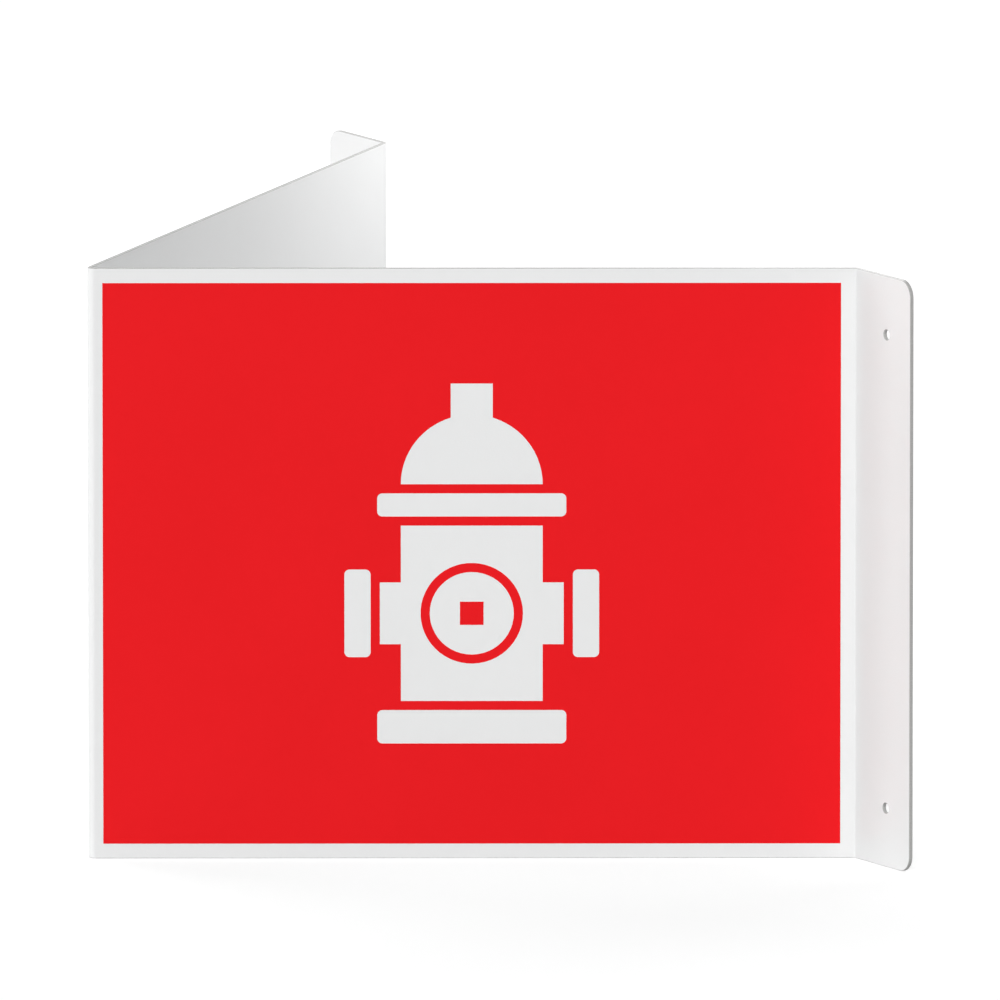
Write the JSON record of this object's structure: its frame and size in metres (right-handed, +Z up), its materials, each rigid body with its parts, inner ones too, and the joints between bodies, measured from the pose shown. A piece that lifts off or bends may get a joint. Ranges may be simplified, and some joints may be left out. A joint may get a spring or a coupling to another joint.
{
  "type": "projecting hydrant sign",
  "caption": "V-shaped projecting wall sign folded from one plastic sheet, with a red hydrant face on each side and drilled wall flanges.",
  "frame": {"origin": "middle of the rectangle of screw holes, in the plane of the wall", "axes": "+Z up, +X along the wall, -Y out from the wall towards the nose of the V"},
  "size_m": [0.3982, 0.2438, 0.2286],
  "materials": {
    "sheet": "white sheet plastic, satin gloss, cut edges",
    "print": "red printed film, satin gloss"
  },
  "bodies": {
    "root": {"folded_sheet": "sheet", "right_face_print": "print", "left_face_print": "print"}
  },
  "joints": []
}
